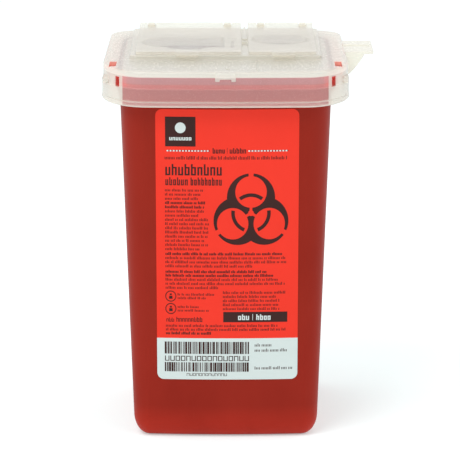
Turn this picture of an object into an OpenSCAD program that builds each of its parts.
// Sharps container, one quart: a red tapered tub, a milky push-on lid and two flip-up flaps.
// The origin is the centre of the tub's foot. +Z is up and the labelled front faces -Y.

/* [Container] */
// Height of the tub's rim
tub_h = 153.5; // [110:0.5:170]
// Outside width of the tub's wall at the rim
tub_w = 86.9; // [86:0.1:89]
// Outside depth of the tub's wall at the rim
tub_d = 100; // [96:0.5:101]
// Draft of the tub's walls, in degrees
draft = 2.07; // [0.5:0.01:2.2]
// Outside radius of the tub's upright corners at the rim
tub_corner_r = 12.5; // [11:0.1:13]
// Wall thickness
wall = 1.8; // [1.2:0.1:2.4]
// Floor thickness
floor_t = 2.2; // [1.6:0.1:3]
// How far the round between the walls and the foot reaches in
foot_r = 6; // [3:0.1:6.2]
// How far the round between the walls and the foot reaches up
foot_h = 9; // [4:0.1:10]
// How far the rim's lower bead stands out from the wall
rim_out = 2; // [1:0.1:2.1]

/* [Lid] */
// Half width of the lid at the sides
lid_half_w = 50.6; // [50.5:0.1:54]
// Distance from the centre to the lid's front
lid_front = 54.3; // [54:0.1:57]
// Distance from the centre to the lid's rear
lid_rear = 54.5; // [54:0.1:57]
// How far the corners of the lid's front and rear sit back from their middles
lid_bow = 0.3; // [0:0.1:0.4]
// Thickness of the lid's deck
deck_t = 1.8; // [1.4:0.1:2.4]
// Height of the lid's skirt below the deck
skirt_h = 12.7; // [10:0.1:16]
// Thickness of the skirt's lower part
skirt_t = 2; // [1.6:0.1:2]
// Height of the raised frame round the flaps
frame_h = 2; // [1.6:0.1:2.4]
// How far the thumb tab reaches past the centre
tab_reach = 61.6; // [58:0.1:64]

/* [Flaps] */
// Thickness of the flaps
flap_t = 1.3; // [1:0.1:1.6]
// Left edge of the large flap
large_left = -37; // [-38:0.1:-36.6]
// Right edge of the large flap
large_right = 6.5; // [6:0.1:6.6]
// Left edge of the small flap
small_left = 9.4; // [9.3:0.1:10]
// Right edge of the small flap
small_right = 37.3; // [37:0.1:38]
// Radius of the hinge barrels
barrel_r = 1.95; // [1.8:0.05:2]
// Radius of the hinge rods
rod_r = 1.1; // [0.9:0.05:1.2]
// Width of the finger tabs
finger_w = 9.4; // [7:0.1:11]

/* [Ports] */
// Half depth of the large port
large_port_r = 13.3; // [11:0.1:14]
// Radius of the round small port
small_port_r = 12.4; // [10:0.1:12.6]
// Width of the needle remover's slot at its narrow end
slot_w = 1.2; // [0.8:0.1:1.6]

/* [Label] */
// Width of the front label
label_w = 58.3; // [40:0.1:64]
// Height of the front label
label_h = 113.4; // [60:0.1:114]
// Thickness of the front label
label_t = 0.2; // [0.1:0.05:0.4]

/* [Fits] */
// Radial clearance of the hinge rods in their lugs
rod_gap = 0.06; // [0.02:0.01:0.1]
// Clearance at the sides of the hinge lugs
lug_gap = 0.25; // [0.15:0.05:0.4]
// Clearance between the closed flaps and the raised frame
seat_gap = 0.15; // [0.05:0.05:0.3]
// Clearance between a flap's plug lip and its port
plug_gap = 0.4; // [0.3:0.05:0.6]

/* [Hidden] */
$fn = 96;
slop = 1; // how far a cutting shape runs past the face that it cuts

// Tub
taper = tan(draft);
corner_x = tub_w / 2 - tub_corner_r;
corner_y = tub_d / 2 - tub_corner_r;
rim_z = tub_h - 5.3;
rim_step_z = tub_h - 3;
rim_upper_out = 1.2;
rim_chamfer = 0.4;
inner_foot_r = 4.2;
inner_foot_h = foot_h - 1.8;
arc_steps = 9;
ear_z = tub_h - 2.6;
ear_t = 1.6;
ear_half_len = 40;
gusset_t = 1.4;
gusset_h = 4.2;
gusset_out = 2.4;
gusset_y = 35.5;

// Lid
deck_top = tub_h + deck_t;
skirt_z = tub_h - skirt_h;
skirt_step_z = tub_h - 5.2;
skirt_step = 0.5;
bead_h = 1.1;
bead_out = 0.15;
groove_z = skirt_z + 1.9;
groove_h = 0.4;
edge_r = 1;
front_corner = [17.9, 28.3];
rear_corner_r = 12;
rear_narrow = 0.6;
corner_steps = 14;
side_steps = 8;
tub_clearance = 0.3;

// Raised frame, in plan
frame_x = [-39.4, 39.3];
frame_y = [-26, 44.3];
frame_corner_r = 3;
frame_top = deck_top + frame_h;

// Hinge
hinge_y = 47.5;
hinge_z = deck_top + barrel_r + seat_gap;
lug_w = 3;
large_lugs = [-33.5, -0.8];
small_lugs = [13.5, 31.5];

// Flaps
flap_z = frame_top + seat_gap;
flap_top = flap_z + flap_t;
flap_front = -25.2;
flap_corner_r = 1.6;
border_w = 2.2;
border_h = 0.3;
notch_gap = 0.7;
lip_t = 0.9;
lip_h = 1.5;
large_finger_x = -15.8;
small_finger_x = 23.7;
finger_out = 3.4;
finger_t = 1.6;
finger_drop = 0.5;
finger_pad_h = 0.35;
finger_pad_len = 4.6;
grip_r = 0.45;
grip_pitch = 2.8;

// Ports
large_port = [-22.2, 8];
large_port_right = 5.1;
divider_x = [-0.6, 0.6];
relief = [-15.9, -4.2];
relief_r = 8;
small_port = [23.1, 15];
remover_t = 1;
keyhole = [2.85, -2.4];
keyhole_r = 1.7;
slot_end_y = 18;

// Small details of the lid
window_x = [44.5, 47.2];
hook_y = [28.5, 39.5];
slit_x = [42.95, 44.3];
slit_y = [[-54, -44], [47, 57]];
slit_z = [skirt_step_z + 0.1, skirt_step_z + 3.9];
hook_in = 2.4;
hook_h = 2.6;
catch_w = 8.3;
catch_foot_w = 1.8;
catch_out = 0.7;
tab_y = [-4.2, 24.3];
tab_t = 1.1;
tab_rib_y = 11.4;
tab_gusset_t = 1.2;
tab_gusset_h = 8.6;
tab_gusset_x = 57.9;
gate_at = [0.8, -46.7];
gate_r = 0.9;
deck_rib_x = 12.8;
pocket_depth = 0.5;

// Label
label_x = 0.6;
label_z = 25.4;
label_corner_r = 2.7;

// ---- Shapes that several parts use ----

// Radius of the tub's outer wall round a corner's axis, at a height
function wall_r(z) = tub_corner_r - (tub_h - z) * taper;

// Points of the elliptical round, r wide and h high, from a flat floor at height z to a drafted wall
function foot_arc(base_r, z, r, h) =
    let (
        a_end = -atan(h / r * taper),
        centre_r = base_r + h * (1 + sin(a_end)) * taper - r * cos(a_end)
    )
    [for (i = [0:arc_steps])
        let (a = -90 + (90 + a_end) * i / arc_steps)
        [centre_r + r * cos(a), z + h + h * sin(a)]];

// A quarter of an ellipse as points, from angle a0 to a0 + 90
function quarter(centre, radii, a0) =
    [for (i = [0:corner_steps])
        let (a = a0 + 90 * i / corner_steps)
        [centre.x + radii.x * cos(a), centre.y + radii.y * sin(a)]];

// Points of a straight edge between two ends, without the ends
function edge_points(from, to) = [for (i = [1:side_steps - 1]) from + (to - from) * i / side_steps];

// The lid's outline, pulled in by inset all round. Its front and rear bow out towards the middle.
function lid_outline(inset) =
    let (
        fx = lid_half_w - front_corner.x,
        fy = -lid_front + front_corner.y,
        fr = [front_corner.x - inset, front_corner.y - inset],
        rx = lid_half_w - rear_narrow - rear_corner_r,
        ry = lid_rear - rear_corner_r,
        rr = [rear_corner_r - inset, rear_corner_r - inset],
        outline = concat(
            quarter([fx, fy], fr, -90),
            quarter([rx, ry], rr, 0),
            edge_points([rx, ry + rr.y], [-rx, ry + rr.y]),
            quarter([-rx, ry], rr, 90),
            quarter([-fx, fy], fr, 180),
            edge_points([-fx, fy - fr.y], [fx, fy - fr.y])
        )
    )
    [for (p = outline) [p.x, p.y * (1 - lid_bow / lid_front * pow(p.x / lid_half_w, 2))]];

// A slab with the lid's outline between two heights
module lid_slab(z0, z1, inset) {
    translate([0, 0, z0]) linear_extrude(z1 - z0) polygon(lid_outline(inset));
}

// A solid with four round corners, from a profile of [distance from a corner's axis, height]
module rounded_block(profile) {
    bottom = profile[0].y;
    top = profile[len(profile) - 1].y;
    for (k = [0:3]) {
        side = [k == 0 || k == 3 ? 1 : -1, k < 2 ? 1 : -1];
        translate([side.x * corner_x, side.y * corner_y, 0])
            rotate([0, 0, 90 * k])
                rotate_extrude(angle = 90)
                    polygon(concat([[0, bottom]], profile, [[0, top]]));
    }
    rotate([90, 0, 0])
        linear_extrude(2 * corner_y, center = true)
            polygon(mirrored_profile(profile, corner_x));
    rotate([90, 0, 90])
        linear_extrude(2 * corner_x, center = true)
            polygon(mirrored_profile(profile, corner_y));
}

// The cross-section of a block from its profile, about its middle plane
function mirrored_profile(profile, reach) =
    let (n = len(profile))
    concat(
        [for (p = profile) [reach + p.x, p.y]],
        [for (i = [n - 1:-1:0]) [-reach - profile[i].x, profile[i].y]]
    );

// A box between two corners
module box(low, high) {
    translate(low) cube(high - low);
}

// A plate with round front corners and square rear corners, between z0 and z1
module front_rounded_plate(x, y, r, z0, z1) {
    translate([0, 0, z0]) linear_extrude(z1 - z0) {
        for (cx = [x[0] + r, x[1] - r]) translate([cx, y[0] + r]) circle(r);
        translate([x[0] + r, y[0]]) square([x[1] - x[0] - 2 * r, r]);
        translate([x[0], y[0] + r]) square([x[1] - x[0], y[1] - y[0] - r]);
    }
}

// A shape's copies on both sides of the middle plane
module both_sides() {
    children();
    mirror([1, 0, 0]) children();
}

// A cylinder along X
module rod(x0, x1, r) {
    translate([x0, 0, 0]) rotate([0, 90, 0]) cylinder(h = x1 - x0, r = r);
}

// ---- Container body ----

function tub_outside() = concat(
    foot_arc(wall_r(0), 0, foot_r, foot_h),
    [
        [wall_r(rim_z - 0.8), rim_z - 0.8],
        [tub_corner_r + rim_out - 0.5, rim_z - 0.3],
        [tub_corner_r + rim_out, rim_z + 0.2],
        [tub_corner_r + rim_out, rim_step_z - 0.3],
        [tub_corner_r + rim_upper_out, rim_step_z],
        [tub_corner_r + rim_upper_out, tub_h - rim_chamfer],
        [tub_corner_r + rim_upper_out - rim_chamfer, tub_h]
    ]
);

function tub_inside() = concat(
    foot_arc(wall_r(0) - wall, floor_t, inner_foot_r, inner_foot_h),
    [
        [wall_r(tub_h - rim_chamfer) - wall, tub_h - rim_chamfer],
        [wall_r(tub_h) - wall + rim_chamfer, tub_h],
        [wall_r(tub_h) - wall + rim_chamfer, tub_h + slop]
    ]
);

// Ledge along each side of the rim, which the lid's hooks lock under
module rim_ears() {
    both_sides() intersection() {
        lid_slab(ear_z, ear_z + ear_t, skirt_t + tub_clearance);
        box([tub_w / 2, -ear_half_len, ear_z - slop], [lid_half_w, ear_half_len, tub_h]);
    }
}

// Small webs under the rim, on the side walls
module rim_gussets() {
    x0 = corner_x + wall_r(rim_z - gusset_h) - 0.6;
    x1 = tub_w / 2 + gusset_out;
    both_sides() for (y = [-gusset_y, gusset_y])
        translate([0, y + gusset_t / 2, 0]) rotate([90, 0, 0]) linear_extrude(gusset_t)
            polygon([[x0, rim_z - gusset_h], [x0 + 0.8, rim_z - gusset_h], [x1, rim_z + 0.4],
                [x1, ear_z + 0.4], [x0, ear_z + 0.4]]);
}

module container_body() {
    color("firebrick") difference() {
        union() {
            rounded_block(tub_outside());
            rim_ears();
            rim_gussets();
        }
        rounded_block(tub_inside());
    }
}

// ---- Lid ----

// Large port, left of the divider, with its finger relief
module large_port_2d(inset) {
    r = large_port_r - inset;
    translate(large_port) circle(r);
    translate([large_port.x, large_port.y - r])
        square([divider_x[0] - inset - large_port.x, 2 * r]);
    translate(relief) circle(relief_r - inset);
}

// Outer skin of the lid: deck with a rounded edge, stepped skirt and bottom bead
module lid_shell() {
    hull() {
        lid_slab(deck_top - 0.1, deck_top, skirt_step + edge_r);
        lid_slab(deck_top - 0.4, deck_top - 0.3, skirt_step + 0.3 * edge_r);
        lid_slab(deck_top - edge_r - 0.1, deck_top - edge_r, skirt_step);
    }
    lid_slab(skirt_step_z, deck_top - edge_r, skirt_step);
    lid_slab(groove_z + groove_h, skirt_step_z, 0);
    lid_slab(groove_z, groove_z + groove_h, 0.3);
    lid_slab(skirt_z + bead_h, groove_z, 0);
    lid_slab(skirt_z, skirt_z + bead_h, -bead_out);
}

// Raised frame that the flaps close on
module raised_frame() {
    front_rounded_plate(frame_x, frame_y, frame_corner_r, deck_top - 0.5, frame_top);
}

// One pierced lug that holds a hinge rod
module hinge_lug(x) {
    translate([0, hinge_y, hinge_z]) rod(x, x + lug_w, barrel_r);
    box([x, hinge_y - barrel_r, deck_top - 0.3], [x + lug_w, hinge_y + barrel_r, hinge_z]);
}

// Hooks inside the skirt that lock under the tub's ledges
module skirt_hooks() {
    both_sides() intersection() {
        lid_slab(ear_z - hook_h, ear_z - 0.1, 0.4);
        for (s = [-1, 1])
            translate([0, s * (hook_y[0] + hook_y[1]) / 2, 0]) rotate([90, 0, 0])
                linear_extrude(hook_y[1] - hook_y[0], center = true)
                    polygon([
                        [lid_half_w, ear_z - hook_h],
                        [lid_half_w - skirt_t, ear_z - hook_h],
                        [lid_half_w - skirt_t - hook_in, ear_z - 0.9],
                        [lid_half_w - skirt_t - hook_in, ear_z],
                        [lid_half_w, ear_z]
                    ]);
    }
}

// Staple-shaped catch over the middle of the front edge
module front_catch() {
    y = -lid_front + skirt_step;
    box([-catch_w / 2, y - catch_out, skirt_step_z + 4], [catch_w / 2, y + 1.4, deck_top - 0.1]);
    for (x = [-catch_w / 2, catch_w / 2 - catch_foot_w])
        box([x, y - catch_out, skirt_step_z + 3.1], [x + catch_foot_w, y + 1, skirt_step_z + 4.2]);
}

// Fixed thumb tab on the right side, with its web
module thumb_tab() {
    root_x = lid_half_w - skirt_step - 1.2;
    r = 1.5;
    difference() {
        box([root_x, tab_y[0], deck_top - tab_t], [tab_reach, tab_y[1], deck_top]);
        for (k = [0, 1])
            translate([tab_reach - r, k == 0 ? tab_y[0] + r : tab_y[1] - r, 0]) difference() {
                box([0, k == 0 ? -r - slop : 0, tub_h - slop], [r + slop, k == 0 ? 0 : r + slop, deck_top + slop]);
                translate([0, 0, tub_h - 2 * slop]) cylinder(h = 8, r = r);
            }
    }
    box([root_x, tab_rib_y - 0.4, deck_top - 0.2], [tab_reach - 1, tab_rib_y + 0.4, deck_top + 0.4]);
    translate([0, tab_y[0] + tab_gusset_t, 0]) rotate([90, 0, 0]) linear_extrude(tab_gusset_t)
        polygon(concat(
            [[root_x, deck_top - 0.5], [root_x, deck_top - tab_t - tab_gusset_h]],
            [for (i = [0:8])
                let (t = i / 8)
                [lid_half_w + 0.2 + (tab_gusset_x - lid_half_w - 0.2) * t,
                 deck_top - tab_t - tab_gusset_h * (1 - pow(t, 1.35))]],
            [[tab_gusset_x, deck_top - 0.5]]
        ));
}

// Low ridge between the flaps, a gate mark and a flow rib on the deck
module deck_details() {
    mid = (large_right + small_left) / 2;
    translate([mid, 0, frame_top - 0.2]) linear_extrude(0.9)
        polygon([[-0.35, 43.5], [0.35, 43.5], [1.15, 12], [-1.15, 12]]);
    box([mid - 1.15, 6.4, frame_top - 0.2], [mid + 1.15, 8, frame_top + 0.5]);
    translate([gate_at.x, gate_at.y, deck_top - 0.2]) cylinder(h = 0.6, r = gate_r);
    box([deck_rib_x - 0.35, -50, deck_top - 0.2], [deck_rib_x + 0.35, frame_y[0] + 0.2, deck_top + 0.25]);
}

// Everything that is cut out of the lid
module lid_cuts() {
    mid = (large_right + small_left) / 2;
    lid_slab(skirt_z - slop, tub_h, skirt_t);
    // Ports
    translate([0, 0, tub_h - slop]) linear_extrude(frame_h + deck_t + 2 * slop) {
        large_port_2d(0);
        translate(small_port) circle(small_port_r);
    }
    // Needle remover: a sunk strip with a keyhole slot
    port_y = [large_port.y - large_port_r, large_port.y + large_port_r];
    box([divider_x[1], port_y[0], deck_top + remover_t], [large_port_right, port_y[1], frame_top + slop]);
    box([divider_x[1], port_y[0], tub_h - slop], [large_port_right, port_y[1], deck_top]);
    translate([0, 0, tub_h - slop]) linear_extrude(frame_h + deck_t + 2 * slop) {
        translate(keyhole) circle(keyhole_r);
        polygon([
            [keyhole.x - 1.1, keyhole.y], [keyhole.x + 1.1, keyhole.y],
            [keyhole.x + slot_w / 2, slot_end_y], [keyhole.x - slot_w / 2, slot_end_y]
        ]);
    }
    // Thin pocket between the flaps
    box([mid - 1.1, -5, frame_top - pocket_depth], [mid + 1.1, 5, frame_top + slop]);
    // Windows over the front hooks, and slits at the front and rear corners
    both_sides() {
        box([window_x[0], -hook_y[1], tub_h - slop], [window_x[1], -hook_y[0], deck_top + slop]);
        for (y = slit_y) box([slit_x[0], y[0], slit_z[0]], [slit_x[1], y[1], slit_z[1]]);
    }
}

module lid() {
    color("ivory") {
        difference() {
            union() {
                lid_shell();
                raised_frame();
                front_catch();
                thumb_tab();
                deck_details();
                for (x = concat(large_lugs, small_lugs)) hinge_lug(x);
            }
            lid_cuts();
            translate([0, hinge_y, hinge_z]) rod(frame_x[0], frame_x[1], rod_r + rod_gap);
        }
        skirt_hooks();
    }
}

// ---- Flaps ----

// Panel with a raised border, front corners rounded
module flap_panel(x0, x1) {
    difference() {
        front_rounded_plate([x0, x1], [flap_front, hinge_y], flap_corner_r, flap_z, flap_top);
        front_rounded_plate([x0 + border_w, x1 - border_w], [flap_front + border_w, hinge_y - barrel_r - border_w],
            flap_corner_r, flap_top - border_h, flap_top + slop);
    }
}

// Finger tab: a pad on the panel that reaches out over the raised frame's front, and three grip ribs
module finger_tab(x) {
    lip_y = flap_front - finger_out;
    low = flap_z - finger_drop;
    translate([x - finger_w / 2, 0, 0]) rotate([90, 0, 90]) linear_extrude(finger_w)
        polygon([
            [flap_front + finger_pad_len, flap_top - border_h - 0.1],
            [flap_front + finger_pad_len, flap_top],
            [flap_front + finger_pad_len - 0.8, flap_top + finger_pad_h],
            [lip_y + 0.8, flap_top + finger_pad_h],
            [lip_y + 0.2, flap_top],
            [lip_y, flap_top - 0.4],
            [lip_y, low + 0.2],
            [lip_y + 0.2, low],
            [lip_y + finger_t - 0.3, low],
            [lip_y + finger_t, flap_z],
            [flap_front + 1, flap_z],
            [flap_front + 1, flap_top - border_h - 0.1]
        ]);
    for (k = [-1:1])
        translate([x + k * grip_pitch, lip_y, low + 0.3])
            cylinder(h = flap_top - low - 0.7, r = grip_r, $fn = 32);
}

// Hinge barrel along the flap's rear edge, cut away at the lugs but for the rod
module barrel(x0, x1, lugs) {
    translate([0, hinge_y, hinge_z]) {
        difference() {
            rod(x0, x1, barrel_r);
            for (x = lugs) rod(x - lug_gap, x + lug_w + lug_gap, barrel_r + slop);
        }
        rod(x0, x1, rod_r);
    }
}

// Room in the panel for the lugs
module lug_notches(lugs) {
    for (x = lugs)
        box([x - lug_gap, hinge_y - barrel_r - notch_gap, flap_z - slop],
            [x + lug_w + lug_gap, hinge_y + slop, flap_top + slop]);
}

module flap(x0, x1, lugs, finger_x) {
    difference() {
        union() {
            flap_panel(x0, x1);
            finger_tab(finger_x);
        }
        lug_notches(lugs);
    }
    barrel(x0, x1, lugs);
}

module large_flap() {
    color("ivory") {
        flap(large_left, large_right, large_lugs, large_finger_x);
        translate([0, 0, flap_z - lip_h]) linear_extrude(lip_h + 0.2) difference() {
            large_port_2d(plug_gap);
            large_port_2d(plug_gap + lip_t);
        }
    }
}

module small_flap() {
    color("ivory") {
        flap(small_left, small_right, small_lugs, small_finger_x);
        translate([small_port.x, small_port.y, flap_z - lip_h]) difference() {
            cylinder(h = lip_h + 0.2, r = small_port_r - plug_gap);
            translate([0, 0, -slop]) cylinder(h = lip_h + slop + 0.1, r = small_port_r - plug_gap - lip_t);
        }
    }
}

// ---- Label ----

// Flat label with round corners on the tub's leaning front wall
module front_label() {
    front_y = corner_y + wall_r(0);
    rise = label_z / cos(draft);
    color("tomato")
        translate([label_x, -front_y, 0]) rotate([90 + draft, 0, 0]) translate([-label_w / 2, rise, 0])
            linear_extrude(label_t) {
                for (x = [label_corner_r, label_w - label_corner_r], y = [label_corner_r, label_h - label_corner_r])
                    translate([x, y]) circle(label_corner_r);
                translate([label_corner_r, 0]) square([label_w - 2 * label_corner_r, label_h]);
                translate([0, label_corner_r]) square([label_w, label_h - 2 * label_corner_r]);
            }
}

container_body();
lid();
large_flap();
small_flap();
front_label();
